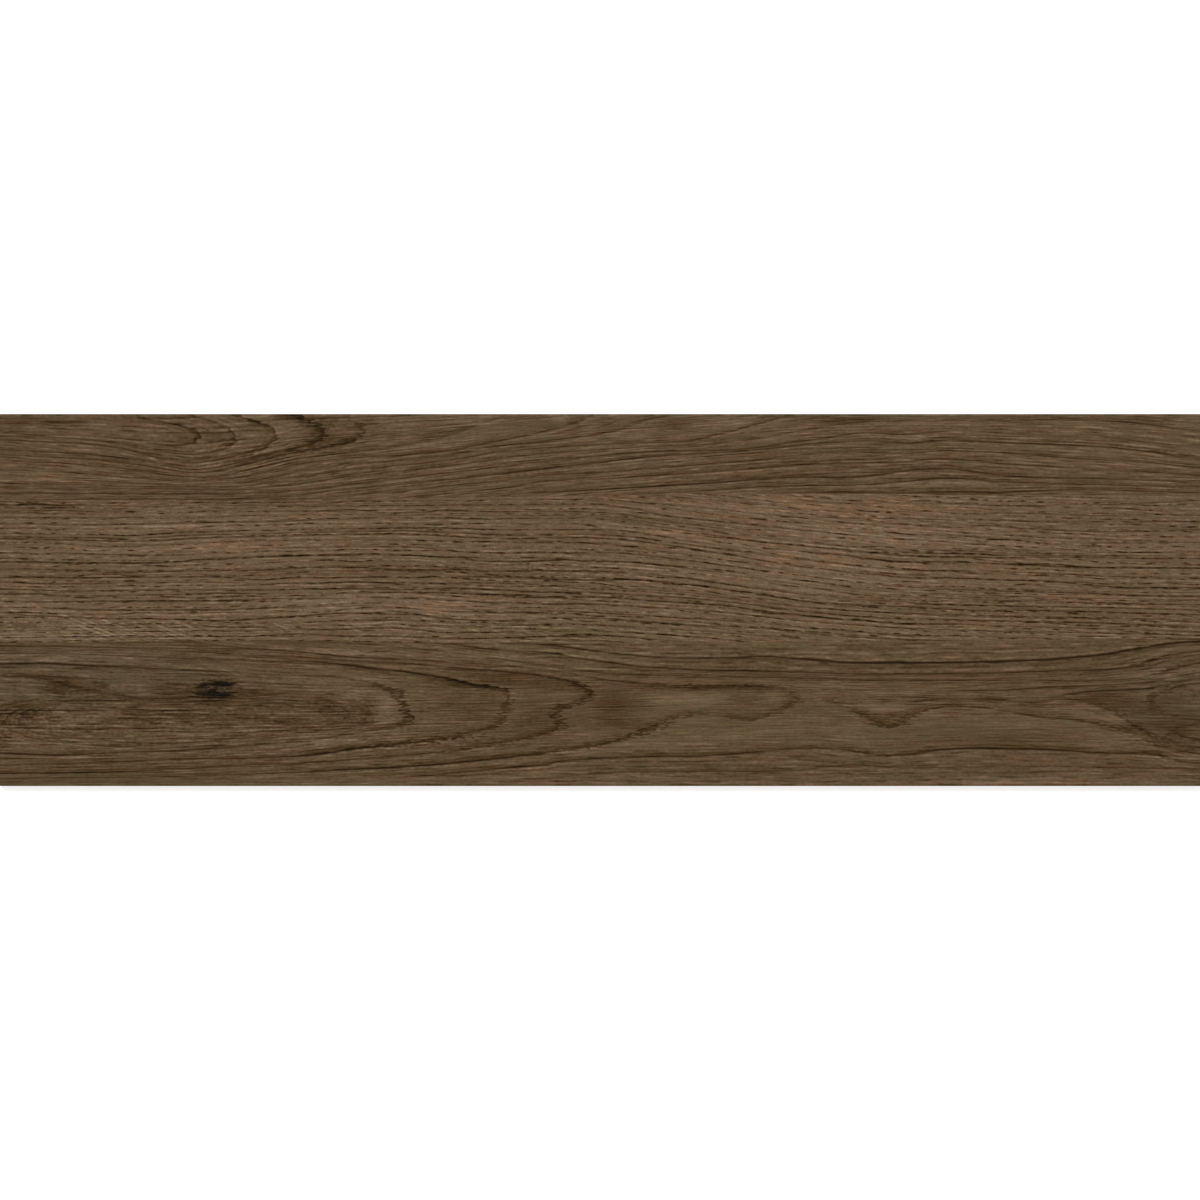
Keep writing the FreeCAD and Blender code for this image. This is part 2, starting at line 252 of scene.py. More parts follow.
# Growth rings of the lower stave, with arches that close towards the right: the same
LOWER_RINGS = [
    (0, [(511, 640, 6), (550, 645, 12), (575, 648, 12), (600, 652, 12), (640, 656, 12), (680, 658, 11),
         (720, 658, 11), (760, 656, 13), (790, 658, 15), (830, 661, 17), (850, 663, 15), (900, 662, 17),
         (915, 663, 16), (980, 662, 16), (1040, 660, 16), (1100, 655, 17), (1130, 650, 18), (1150, 646, 16),
         (1172, 643, 18), (1200, 641, 17)]),
    (1, [(400, 640, 5), (445, 643, 11), (480, 648, 12), (500, 650, 12), (550, 652, 11), (575, 658, 10),
         (600, 661, 10), (645, 667, 10), (700, 670, 9), (760, 671, 9), (800, 672, 9), (850, 674, 9),
         (920, 674, 9), (1000, 673, 9), (1050, 671, 9), (1090, 670, 9), (1115, 669, 12), (1130, 667, 10),
         (1150, 660, 9), (1170, 654, 9), (1200, 651, 9)]),
    (2, [(300, 641, 4), (380, 645, 5), (450, 652, 5), (500, 659, 6), (550, 666, 6), (600, 673, 6),
         (650, 675, 6), (700, 676, 6), (750, 677, 6), (800, 678, 9), (870, 680, 9), (950, 680, 8),
         (1040, 680, 6), (1085, 681, 6), (1130, 679, 7), (1160, 673, 8), (1175, 667, 8), (1190, 664, 9),
         (1200, 663, 8)]),
    (3, [(155, 641, 3), (200, 643, 8), (240, 648, 7), (280, 650, 9), (310, 653, 12), (350, 657, 11),
         (400, 659, 7), (450, 662, 6), (500, 665, 5), (550, 670, 5), (600, 679, 8), (640, 683, 8),
         (680, 687, 8), (730, 686, 9), (765, 686, 9), (785, 690, 9), (800, 698, 8), (788, 705, 8),
         (775, 714, 8), (750, 719, 8), (725, 716, 7), (705, 712, 7), (690, 714, 8), (671, 719, 9),
         (655, 727, 13), (632, 737, 12), (600, 744, 10), (575, 748, 10), (550, 752, 11), (500, 758, 13),
         (450, 763, 13), (400, 767, 14), (350, 769, 13), (300, 772, 9), (250, 774, 7), (180, 776, 7),
         (100, 777, 5), (0, 778, 5)]),
    (4, [(0, 646, 7), (60, 646, 6), (130, 648, 4), (200, 652, 5), (250, 655, 6), (300, 657, 10),
         (350, 661, 9), (400, 663, 9), (450, 667, 12), (500, 671, 12), (540, 675, 12), (570, 681, 12),
         (588, 689, 13), (594, 695, 15), (580, 702, 11), (562, 708, 11), (556, 714, 12), (562, 723, 12),
         (556, 731, 10), (520, 739, 7), (480, 747, 7), (430, 753, 8), (380, 757, 7), (320, 762, 6),
         (250, 765, 5), (170, 769, 6), (135, 771, 9), (100, 772, 11), (40, 773, 13), (0, 773, 11)]),
    (5, [(0, 653, 6), (60, 653, 3), (120, 656, 3), (200, 659, 5), (260, 662, 7), (310, 661, 8),
         (340, 664, 12), (370, 668, 14), (400, 671, 14), (430, 675, 14), (455, 680, 18), (470, 684, 22),
         (485, 686, 22), (500, 688, 16), (512, 692, 11), (508, 703, 10), (506, 714, 10), (500, 723, 10),
         (480, 731, 10), (450, 738, 11), (400, 744, 13), (375, 746, 15), (350, 749, 16), (325, 753, 17),
         (300, 756, 15), (250, 758, 10), (180, 759, 9), (100, 762, 4), (0, 765, 5)]),
    (6, [(0, 664, 13), (50, 663, 14), (90, 666, 13), (150, 668, 11), (200, 671, 9), (260, 672, 4),
         (310, 673, 4), (350, 679, 6), (375, 683, 9), (397, 691, 13), (404, 702, 15), (409, 713, 16),
         (412, 721, 15), (398, 727, 10), (370, 730, 5), (335, 736, 4), (300, 741, 6), (240, 746, 6),
         (200, 749, 9), (160, 751, 8), (100, 753, 5), (65, 755, 13), (30, 754, 13), (0, 752, 9)]),
    (7, [(0, 675, 10), (40, 678, 10), (60, 682, 7), (80, 689, 5), (110, 694, 4), (150, 699, 7),
         (185, 698, 12), (240, 697, 8), (300, 692, 3), (335, 694, 3), (358, 701, 5), (372, 712, 5),
         (371, 722, 5), (345, 728, 6), (300, 733, 5), (240, 738, 5), (180, 743, 6), (120, 747, 6),
         (60, 742, 5), (25, 736, 6), (6, 726, 6), (8, 715, 10), (30, 706, 8), (60, 702, 5)]),
    (10, [(60, 705, 4), (100, 707, 6), (150, 710, 8), (190, 711, 4), (230, 706, 2), (272, 702, 6),
          (300, 706, 3), (320, 711, 2), (322, 715, 2), (310, 719, 2), (285, 722, 3), (250, 724, 3),
          (220, 726, 2), (160, 728, 5), (120, 728, 7), (70, 730, 2), (50, 724, 5), (48, 714, 4)]),
    (10.5, [(110, 718, 3), (180, 721, 3)]),
    (10.5, [(270, 711, 3), (298, 712, 3)]),
    (3.5, [(735, 701, 0), (772, 700, 0)]),
    (2.5, [(822, 696, 0), (834, 705, 0)]),
    (2.5, [(990, 733, 0), (1070, 738, 0)]),
    (2, [(440, 774, 7), (500, 768, 11), (540, 765, 11), (565, 760, 10), (600, 758, 11), (650, 756, 12),
         (700, 756, 12), (730, 754, 11), (772, 750, 11), (800, 748, 11), (832, 748, 10), (855, 751, 9),
         (872, 754, 8), (896, 755, 9), (918, 753, 10), (940, 749, 13), (980, 748, 17), (1040, 749, 17),
         (1060, 750, 13), (1100, 753, 11), (1150, 753, 10), (1163, 756, 10), (1175, 761, 10),
         (1200, 763, 9)]),
    (1, [(560, 777, 3), (600, 772, 5), (640, 771, 8), (700, 771, 8), (760, 771, 7), (800, 770, 7),
         (850, 764, 7), (890, 767, 7), (950, 767, 5), (1000, 766, 6), (1080, 767, 5), (1150, 768, 6),
         (1200, 771, 6)]),
    (3, [(848, 700, 10), (855, 711, 10), (868, 718, 10), (884, 728, 12), (902, 723, 10), (912, 714, 9),
         (925, 710, 9), (945, 706, 9), (975, 706, 6), (1005, 711, 5), (1040, 717, 8), (1070, 719, 9),
         (1100, 724, 9), (1120, 729, 8), (1150, 742, 5)]),
    (3.7, [(872, 708, 0), (898, 707, 0)]),
    (3, [(800, 690, 2), (850, 690, 3), (900, 690, 3), (945, 692, 4), (965, 690, 5), (1000, 690, 6),
         (1050, 687, 9), (1100, 685, 9), (1150, 682, 8), (1172, 677, 7), (1200, 672, 6)]),
    (4, [(845, 700, 6), (865, 697, 4), (900, 696, 5), (940, 698, 7), (985, 699, 7), (1030, 703, 6),
         (1060, 698, 7), (1075, 692, 10), (1110, 690, 8), (1145, 689, 7), (1170, 683, 9), (1200, 678, 10)]),
    (5, [(1200, 683, 7), (1180, 685, 7), (1165, 690, 7), (1152, 695, 7), (1148, 702, 6), (1155, 712, 3),
         (1200, 722, 3)]),
    (4, [(1040, 697, 3), (1085, 701, 4), (1110, 710, 4), (1130, 723, 5), (1150, 736, 5), (1175, 744, 7),
         (1200, 747, 7)]),
]

# Grain lines, that the fibres follow: height at the left end, then points along the line
UPPER_GRAIN = [
    (415, [(0, 415), (1200, 395)]),
    (436, [(0, 436), (100, 440), (150, 445), (200, 447), (250, 443), (300, 437), (400, 431), (500, 424),
           (600, 415), (800, 403), (1200, 403)]),
    (450, [(0, 450), (85, 455), (150, 463), (192, 470), (232, 465), (275, 454), (300, 449), (330, 446),
           (400, 441), (500, 432), (600, 424), (700, 418), (800, 412), (1000, 411), (1200, 415)]),
    (472, [(0, 472), (100, 477), (200, 483), (250, 480), (300, 470), (350, 463), (400, 457), (500, 446),
           (600, 439), (700, 434), (800, 427), (900, 424), (1000, 424), (1100, 427), (1200, 434)]),
    (489, [(0, 489), (150, 490), (240, 490), (300, 487), (350, 481), (400, 475), (500, 463), (600, 455),
           (700, 449), (800, 441), (870, 438), (930, 441), (1000, 442), (1100, 447), (1200, 458)]),
    (505, [(0, 503), (200, 503), (300, 500), (400, 491), (500, 482), (600, 473), (700, 463), (800, 456),
           (900, 453), (1000, 456), (1100, 461), (1200, 468)]),
    (520, [(0, 516), (300, 515), (400, 505), (500, 494), (600, 486), (700, 480), (800, 474), (900, 470),
           (1000, 472), (1100, 475), (1200, 478)]),
    (535, [(0, 528), (400, 520), (500, 508), (600, 499), (700, 493), (800, 488), (900, 487), (1000, 488),
           (1100, 487), (1200, 490)]),
]
MIDDLE_GRAIN = [
    (470, [(0, 470), (600, 468), (700, 479), (800, 490), (900, 499), (1000, 505), (1200, 510)]),
    (500, [(0, 500), (150, 501), (300, 501), (450, 499), (600, 497), (700, 506), (800, 516), (850, 521),
           (900, 526), (950, 530), (1000, 533), (1100, 538), (1200, 540)]),
    (524, [(0, 524), (100, 525), (150, 524), (200, 523), (300, 520), (400, 519), (500, 519), (600, 520),
           (650, 525), (700, 530), (750, 536), (800, 541), (850, 546), (900, 550), (950, 553), (1000, 557),
           (1050, 560), (1100, 563), (1200, 565)]),
    (545, [(0, 544), (50, 543), (100, 546), (140, 547), (200, 544), (250, 542), (300, 541), (400, 540),
           (450, 542), (500, 543), (560, 542), (600, 545), (650, 548), (680, 549), (700, 552), (750, 558),
           (800, 565), (850, 572), (900, 577), (950, 578), (1000, 581), (1050, 582), (1100, 584),
           (1200, 585)]),
    (577, [(0, 577), (50, 579), (100, 577), (200, 577), (250, 576), (300, 574), (400, 573), (450, 574),
           (500, 577), (550, 578), (600, 580), (650, 583), (700, 588), (750, 594), (800, 600), (850, 603),
           (900, 606), (950, 607), (1000, 608), (1100, 609), (1200, 612)]),
    (594, [(0, 594), (50, 595), (100, 595), (200, 594), (300, 592), (350, 590), (400, 590), (450, 593),
           (500, 595), (550, 594), (600, 598), (650, 600), (700, 604), (750, 608), (800, 613), (850, 617),
           (900, 621), (950, 624), (1000, 625), (1100, 629), (1200, 632)]),
    (620, [(0, 620), (100, 622), (200, 621), (300, 620), (400, 615), (450, 619), (500, 621), (600, 623),
           (700, 630), (800, 640), (900, 647), (1000, 651), (1200, 658)]),
    (645, [(0, 644), (130, 641), (300, 642), (600, 647), (800, 665), (1200, 684)]),
]
LOWER_GRAIN = [
    (643, [(0, 643), (100, 642), (300, 641), (445, 643), (500, 640), (600, 643), (750, 642), (1000, 641),
           (1100, 640), (1200, 638)]),
    (663, [(0, 653), (100, 655), (200, 658), (300, 664), (400, 668), (500, 672), (600, 672), (700, 672),
           (800, 673), (900, 674), (1000, 673), (1100, 668), (1150, 661), (1200, 655)]),
    (700, [(0, 700), (200, 700), (300, 703), (500, 703), (600, 700), (700, 697), (800, 696), (1000, 697),
           (1200, 695)]),
    (739, [(0, 745), (100, 747), (200, 747), (300, 743), (400, 738), (500, 735), (600, 732), (700, 730),
           (800, 728), (900, 731), (1000, 730), (1100, 731), (1200, 735)]),
    (759, [(0, 768), (100, 768), (200, 766), (300, 763), (400, 758), (500, 753), (600, 750), (700, 750),
           (800, 749), (870, 753), (940, 749), (1000, 748), (1100, 752), (1200, 758)]),
    (784, [(0, 784), (1200, 784)]),
]

# The three staves: rings, pixel rows that these are worked out between, grain lines, and height of the top
STAVES = [
    (UPPER_RINGS, 0, 508, UPPER_GRAIN, 415),
    (MIDDLE_RINGS, 485, 655, MIDDLE_GRAIN, 500),
    (LOWER_RINGS, 628, 999, LOWER_GRAIN, 643),
]

# Joints between the printed staves: points along each
JOINTS = [
    [(0, 500), (150, 500), (300, 500), (450, 498), (600, 496), (700, 494), (850, 494), (1000, 495),
     (1200, 496)],
    [(0, 643), (100, 642), (300, 641), (445, 643), (600, 643), (750, 642), (1000, 641), (1100, 640),
     (1200, 638)],
]

# Soft patches of the print: middle, half length and half height in pixels, and how much lighter they are
TONE_PATCHES = [
    (20, 421, 30, 5, -10), (65, 423, 20, 6, -10), (130, 420, 50, 4, -9), (95, 432, 60, 6, -1),
    (150, 433, 40, 8, -3), (200, 438, 30, 5, -8), (232, 441, 24, 6, -9), (264, 436, 9, 8, -3),
    (293, 430, 14, 10, 12), (318, 430, 22, 14, -14), (335, 441, 26, 6, -8), (365, 430, 12, 10, -10),
    (432, 432, 14, 7, -9), (455, 426, 10, 4, -8), (400, 443, 40, 4, 3), (480, 422, 40, 6, 5),
    (520, 431, 22, 5, -5), (548, 423, 10, 5, -3), (560, 420, 8, 6, 10), (575, 424, 7, 9, -8),
    (590, 424, 6, 8, 1), (608, 428, 10, 9, -7), (640, 433, 40, 5, 3), (675, 424, 20, 10, -12),
    (735, 424, 26, 7, 9), (540, 436, 30, 5, 7), (615, 445, 40, 5, 7), (60, 478, 60, 6, 9),
    (200, 467, 40, 2, 8), (200, 483, 90, 3, 4), (330, 470, 70, 8, 2), (930, 484, 60, 2, 11),
    (840, 420, 42, 4, -15), (915, 439, 12, 3, 18), (940, 470, 50, 8, -4), (912, 460, 26, 6, 5),
    (800, 463, 70, 5, -7), (400, 480, 40, 4, 7), (1135, 421, 40, 6, -10), (1180, 424, 20, 7, 6),
    (910, 425, 40, 5, 4), (560, 458, 90, 8, 2), (740, 478, 70, 5, -4), (1150, 466, 40, 2, 11),
    (40, 507, 50, 4, -13), (260, 501, 140, 4, -13), (185, 527, 60, 4, 11), (240, 548, 70, 4, 8),
    (210, 516, 90, 4, 2), (130, 551, 60, 3, 6), (70, 574, 70, 8, -6), (200, 586, 30, 6, 5),
    (270, 573, 30, 4, -14), (370, 568, 36, 9, -9), (440, 571, 60, 6, -8), (530, 577, 70, 9, -5),
    (330, 602, 50, 8, 10), (440, 605, 50, 8, 7), (400, 586, 60, 4, -4), (60, 634, 60, 7, 5),
    (20, 606, 40, 4, 6), (330, 632, 22, 5, -8), (540, 626, 90, 6, -2), (540, 636, 70, 3, -5),
    (720, 545, 50, 10, 4), (790, 558, 60, 8, 6), (790, 575, 60, 6, 6), (860, 568, 40, 6, 6),
    (889, 566, 30, 4, 6), (870, 550, 40, 4, 4), (870, 580, 60, 6, 7), (800, 510, 110, 10, 7),
    (860, 535, 90, 10, 8), (650, 570, 50, 5, 4), (655, 535, 36, 6, 7), (700, 597, 50, 4, -3),
    (920, 608, 26, 6, -7), (1020, 610, 40, 6, -4), (1080, 590, 60, 8, -2), (950, 543, 50, 5, 2),
    (1090, 549, 80, 4, 5), (1100, 613, 80, 9, -3), (930, 630, 60, 5, 2), (1120, 506, 70, 5, -4),
    (70, 657, 90, 4, 9), (34, 676, 30, 4, -8), (55, 683, 26, 5, -12), (72, 688, 24, 5, -16),
    (107, 696, 30, 4, -8), (24, 711, 20, 8, -12), (20, 690, 40, 7, 2), (85, 718, 30, 6, 8),
    (130, 720, 40, 6, -13), (195, 714, 30, 5, -10), (90, 744, 50, 5, 11), (170, 735, 40, 5, 5),
    (310, 741, 50, 4, 9), (250, 731, 60, 5, 3), (215, 702, 30, 4, -12), (175, 690, 24, 8, -18),
    (260, 691, 20, 8, -9), (275, 706, 24, 5, -12), (257, 717, 30, 5, -13), (294, 722, 24, 5, -8),
    (335, 708, 30, 14, -8), (366, 714, 7, 12, -8), (358, 696, 22, 9, 9), (389, 708, 10, 16, 13),
    (340, 683, 40, 5, 7), (340, 653, 50, 7, 9), (247, 642, 30, 3, 6), (465, 703, 34, 8, -9),
    (512, 706, 9, 14, 4), (450, 722, 40, 10, -3), (362, 729, 24, 4, 7), (530, 658, 80, 9, 10),
    (580, 679, 20, 4, 7), (500, 682, 60, 5, -15), (560, 688, 26, 6, -8), (535, 722, 24, 14, -9),
    (478, 740, 50, 5, -6), (568, 702, 16, 5, 3), (615, 703, 28, 9, -16), (611, 716, 20, 8, -10),
    (625, 724, 26, 6, -13), (665, 699, 34, 7, 14), (710, 703, 30, 7, 5), (745, 700, 15, 5, -11),
    (700, 687, 70, 4, -13), (775, 696, 10, 6, 10), (740, 730, 70, 8, 6), (660, 743, 50, 5, 8),
    (770, 645, 50, 4, 11), (810, 592, 50, 5, 7), (590, 752, 30, 3, 11), (850, 732, 40, 8, 6),
    (885, 708, 22, 7, 8), (885, 722, 17, 6, -5), (952, 702, 12, 7, -6), (1050, 708, 40, 5, 5),
    (1105, 718, 30, 5, 13), (1140, 738, 20, 5, 14), (985, 699, 15, 4, -14), (1040, 706, 24, 4, -12),
    (1000, 738, 60, 8, -6), (980, 722, 70, 6, 3), (1095, 697, 22, 6, -14), (1120, 704, 30, 7, -12),
    (1170, 725, 45, 20, -13), (1165, 698, 30, 6, -8), (1143, 699, 6, 8, 6), (1160, 677, 40, 3, 12),
    (1185, 757, 24, 4, 12), (1015, 420, 60, 4, -7), (0, 703, 14, 6, 7), (1009, 648, 30, 3, -7),
    (750, 536, 30, 4, -6), (540, 711, 18, 8, -7), (149, 643, 40, 3, -7), (765, 755, 40, 3, -7),
    (480, 646, 50, 3, 8), (1109, 684, 30, 3, 7), (329, 573, 30, 4, -5), (787, 623, 40, 4, 6),
    (398, 728, 14, 5, 6), (1144, 747, 20, 3, 6), (620, 692, 20, 5, -6), (310, 770, 50, 3, 6),
    (1085, 457, 40, 4, 5), (100, 513, 70, 5, -4), (520, 506, 70, 4, -5), (1130, 520, 90, 9, -4),
    (1175, 562, 40, 5, -5), (705, 520, 40, 5, -5), (855, 574, 30, 4, -5), (552, 538, 40, 4, -5),
    (256, 512, 50, 4, -4), (158, 715, 26, 4, -11), (490, 675, 40, 3, -12), (91, 766, 60, 4, -8),
    (756, 680, 30, 3, 6), (812, 723, 40, 5, -6), (481, 714, 20, 5, -9), (24, 746, 30, 4, -5),
    (450, 738, 30, 4, 9), (927, 700, 20, 4, 6), (1144, 713, 24, 6, -5), (919, 767, 60, 3, 5),
    (526, 419, 30, 4, -6), (854, 467, 30, 4, -6), (292, 418, 14, 4, -14), (393, 435, 24, 4, -5),
    (790, 471, 40, 4, -5), (111, 474, 50, 4, -5), (900, 693, 90, 3, 8), (840, 686, 40, 4, 8),
    (560, 777, 120, 4, 4), (1050, 781, 90, 4, 13), (1110, 734, 24, 4, 7), (1190, 668, 20, 3, 7),
]

# Patches where the fibre strokes are stronger or fainter: the same, and how much stronger
STROKE_PATCHES = [
    (110, 722, 190, 26, 0.7), (330, 735, 120, 30, 0.3), (960, 730, 160, 16, -0.4), (690, 712, 90, 26, -0.3),
    (100, 780, 160, 5, -0.4), (1150, 715, 60, 30, -0.2), (110, 628, 140, 14, 0.4), (560, 575, 120, 16, 0.3),
    (940, 606, 60, 10, 0.3), (1050, 612, 90, 12, 0.3), (500, 628, 120, 10, 0.3), (250, 470, 160, 20, 0.2),
]

# Patches with pale strokes across the grain: the same, and how strong the strokes are
CROSS_PATCHES = [
    (100, 628, 34, 11, 1.2), (175, 628, 30, 11, 1.2), (285, 628, 24, 8, 1.0), (60, 618, 40, 6, 0.4),
    (440, 560, 60, 8, 0.3), (1050, 610, 60, 6, 0.5), (520, 632, 60, 8, 0.5), (915, 596, 8, 5, 0.8),
    (600, 650, 70, 5, 0.3), (340, 652, 40, 4, 0.5), (225, 672, 30, 5, 0.5),
]

# Patches where ring lines are more ragged and soft than their slope makes them: the same, and how much
RAGGED_PATCHES = [
    (505, 710, 26, 24, 0.5), (450, 738, 60, 10, 0.4), (575, 703, 26, 12, 0.5), (560, 722, 16, 14, 0.4),
    (500, 743, 60, 8, 0.3), (600, 747, 40, 6, 0.25), (650, 728, 40, 12, 0.5), (720, 714, 50, 10, 0.5),
    (790, 700, 20, 14, 0.5), (885, 718, 34, 14, 0.5), (395, 705, 20, 24, 0.3), (318, 434, 28, 18, 0.4),
    (440, 432, 30, 12, 0.3), (400, 712, 20, 24, 0.3), (700, 686, 80, 6, 0.5), (865, 754, 34, 7, 0.4),
    (470, 745, 120, 6, 0.2), (640, 729, 30, 10, 0.2), (1140, 725, 40, 24, 0.3), (30, 716, 34, 22, -0.6),
    (80, 686, 30, 8, 0.5),
]

# Patches that lean to red or, below 0, to olive: the same, and how far
WARM_PATCHES = [
    (45, 478, 45, 7, 1.0), (130, 470, 60, 8, 0.4), (840, 507, 130, 9, 1.0), (640, 498, 90, 6, 0.7),
    (245, 548, 55, 6, 1.0), (430, 608, 50, 8, 0.7), (700, 535, 70, 6, 0.8), (800, 560, 90, 8, 0.7),
    (1060, 596, 60, 6, 0.7), (920, 545, 240, 40, 0.2), (610, 705, 40, 14, 0.2), (690, 686, 60, 5, 0.3),
    (920, 678, 120, 8, 0.2), (510, 674, 50, 7, 0.5), (1040, 783, 90, 4, 0.8), (880, 424, 60, 10, 0.4),
    (310, 430, 30, 14, 0.5), (900, 460, 90, 12, 0.3), (100, 700, 70, 5, -0.6), (95, 780, 60, 5, -1.0),
    (700, 715, 90, 16, -0.4), (560, 650, 120, 8, -0.5), (100, 634, 120, 10, -0.8),
    (560, 628, 120, 12, -0.5), (450, 440, 120, 20, -0.2), (800, 735, 200, 12, -0.4),
    (870, 418, 60, 3, -1.0), (640, 520, 60, 10, -0.4),
]

# Black strands of the knot: middle in pixels, half sizes in millimetres, how ragged, and how black
KNOT_STRANDS = [
    ((223, 684), (8.5, 1.8), 0.35, 1.0),
    ((216, 694.4), (9.5, 1.1), 0.35, 1.0),
    ((214, 691), (3.8, 1.3), 0.5, 1.0),
    ((204, 686), (4.0, 1.5), 0.5, 0.7),
]

# Levels of the print's red, on a scale to 255: the lowest, and how far they go above it
DARKEST = 30.0
LEVEL_RANGE = 120.0

# Browns of the print, from dark and saturated to light and greyer: level of the red, and the colour
BROWNS = [
    (30, (26, 12, 1)), (54, (51, 34, 7)), (75, (74, 55, 31.5)), (90, (89, 71.5, 50)),
    (103, (102, 83.5, 61)), (128, (129, 108, 85)), (150, (152, 130, 107)),
]


def smooth_line(points, x):
    """Height of a line at each x: straight runs between its given points, averaged over 16 pixels."""
    line = np.array(points, float)
    shifts = (-8, -4, 0, 4, 8)
    return sum(np.interp(x + shift, line[:, 0], line[:, 1]) for shift in shifts) / len(shifts)


def evenly_along(points, step):
    """Points at even steps along a line of given points, where a rise counts three times as far as a run."""
    line = np.array(points, float)
    lengths = np.hypot(np.diff(line[:, 0]), 3 * np.diff(line[:, 1]))
    place = np.concatenate([[0], np.cumsum(lengths)])
    even = np.linspace(0, place[-1], max(2, int(place[-1] / step) + 1))
    return np.stack([np.interp(even, place, part) for part in line.T], 1)


def ring_field(rings, x, y):
    """Ring number and darkness at each point, from points set evenly along the ring lines.

    The number is a thin plate, the sum of r2 log r over the points. The darkness is their mean, weighted
    by e to the minus square of the distance, and fades to 0 far from all of them.
    """
    lines = [evenly_along(points, RING_STEP) for _, points in rings]
    numbers = np.concatenate([np.full(len(line), float(number)) for (number, _), line in zip(rings, lines)])
    lines = np.concatenate(lines)
    knots, darkness = lines[:, :2] / PLATE_SCALE, lines[:, 2] / 10
    spots = np.stack([x.ravel(), y.ravel()], 1) / PLATE_SCALE
    count = len(knots)
    at_once = 3000

    def plate(a, b):
        """r2 log r for each pair of points, where a tiny number keeps the log of 0 out."""
        square = (a[:, None, 0] - b[None, :, 0]) ** 2 + (a[:, None, 1] - b[None, :, 1]) ** 2
        return square * np.log(square + 1e-12)

    system = np.zeros((count + 3, count + 3))
    system[:count, :count] = plate(knots, knots) + PLATE_SLACK * np.eye(count)
    system[:count, count] = 1
    system[:count, count + 1:] = knots
    system[count:, :count] = system[:count, count:].T
    weights = np.linalg.solve(system, np.concatenate([numbers, np.zeros(3)]))
    ring, dark = [], []
    for block in np.array_split(spots, max(1, len(spots) // at_once)):
        ring.append(plate(block, knots) @ weights[:count] + weights[count] + block @ weights[count + 1:])
        apart = (block[:, None] - knots[None]) / DARK_REACH
        near = np.exp(-(apart**2).sum(2))
        dark.append(near @ darkness / (near.sum(1) + 0.01))
    return np.concatenate(ring).reshape(x.shape), np.concatenate(dark).reshape(x.shape)


def grain_field(lines, x, y):
    """Height that each point's grain line has at the left end: straight between neighbouring lines."""
    heights = [smooth_line(points, x) for _, points in lines]
    field = lines[0][0] + (y - heights[0])
    for (low, _), (high, _), top, bottom in zip(lines, lines[1:], heights, heights[1:]):
        share = np.clip((y - top) / (bottom - top), 0, None)
        field = np.where(share > 0, low + share * (high - low), field)
    return field


def soft_patches(patches, x, y):
    """Sum of soft spots, each its strength times e to the minus square of the distance in half sizes."""
    total = 0.0
    for right, down, length, height, strength in patches:
        total = total + strength * np.exp(-(((x - right) / length) ** 2) - ((y - down) / height) ** 2)
    return total


def lattice_noise(u, v, seed):
    """Smooth noise from -1 to 1: random numbers at whole u and v, blended by 3t2 - 2t3 in between."""
    numbers = np.random.default_rng(seed).uniform(-1, 1, (256, 256))
    column, row = np.floor(u).astype(int), np.floor(v).astype(int)
    across, down = u - column, v - row
    across, down = across**2 * (3 - 2 * across), down**2 * (3 - 2 * down)

    def at(i, j):
        return numbers[(column + i) % 256, (row + j) % 256]

    upper = at(0, 0) * (1 - across) + at(1, 0) * across
    lower = at(0, 1) * (1 - across) + at(1, 1) * across
    return upper * (1 - down) + lower * down


def step_up(value, low, high):
    """Smooth step: 0 below low, 1 above high and 3t2 - 2t3 between them."""
    share = np.clip((value - low) / (high - low), 0, 1)
    return share**2 * (3 - 2 * share)


def by_stave(in_middle, in_lower, values):
    """One field from three: each point takes that of the stave that it lies on."""
    upper, middle, lower = values
    return np.where(in_lower, lower, np.where(in_middle, middle, upper))


def wood_figure(x, y):
    """Everything that the print and its relief read at a point of the face, from its place in pixels.

    Each name has three numbers. ring and grain have one for each stave. mark has how dark the nearest
    ring line is, how far apart the rings are in millimetres, and how ragged they are. tint has how much
    lighter and how much redder the print is, and how strong its pale strokes are. joint has how far the
    point is below each joint in millimetres, and how strong its fibre strokes are.
    """
    below = [(y - smooth_line(points, x)) * PIXEL for points in JOINTS]
    in_middle, in_lower = (distance > 0 for distance in below)
    numbers, darks, grains = [], [], []
    for rings, top, bottom, lines, start in STAVES:
        rows = (y[0] > top) & (y[0] < bottom)
        number, dark = np.zeros_like(x), np.zeros_like(x)
        number[:, rows], dark[:, rows] = ring_field(rings, x[:, rows], y[:, rows])
        numbers.append(number)
        darks.append(dark)
        grains.append((grain_field(lines, x, y) - start) * PIXEL)
    ring, dark = (by_stave(in_middle, in_lower, values) for values in (numbers, darks))
    down = np.gradient(ring, axis=1) / np.gradient(y, axis=1) / PIXEL
    along = np.gradient(ring, axis=0) / np.gradient(x, axis=0) / PIXEL
    change = np.maximum(np.hypot(down, along), 0.01)
    spacing = np.clip(1 / change, 1.2, 60.0)

    # Rings are ragged where they run steeply across the plank, and half as much above the lower stave
    ragged = step_up(np.abs(along) / change, 0.06, 0.7) * np.where(in_lower, 1.0, 0.5)
    ragged = ragged + soft_patches(RAGGED_PATCHES, x, y)
    return {
        "ring": numbers,
        "grain": grains,
        "mark": (np.clip(dark, 0, 2.2), spacing, np.clip(ragged, 0, 1)),
        "tint": [soft_patches(patches, x, y) for patches in (TONE_PATCHES, WARM_PATCHES, CROSS_PATCHES)],
        "joint": (*below, 1 + soft_patches(STROKE_PATCHES, x, y)),
    }


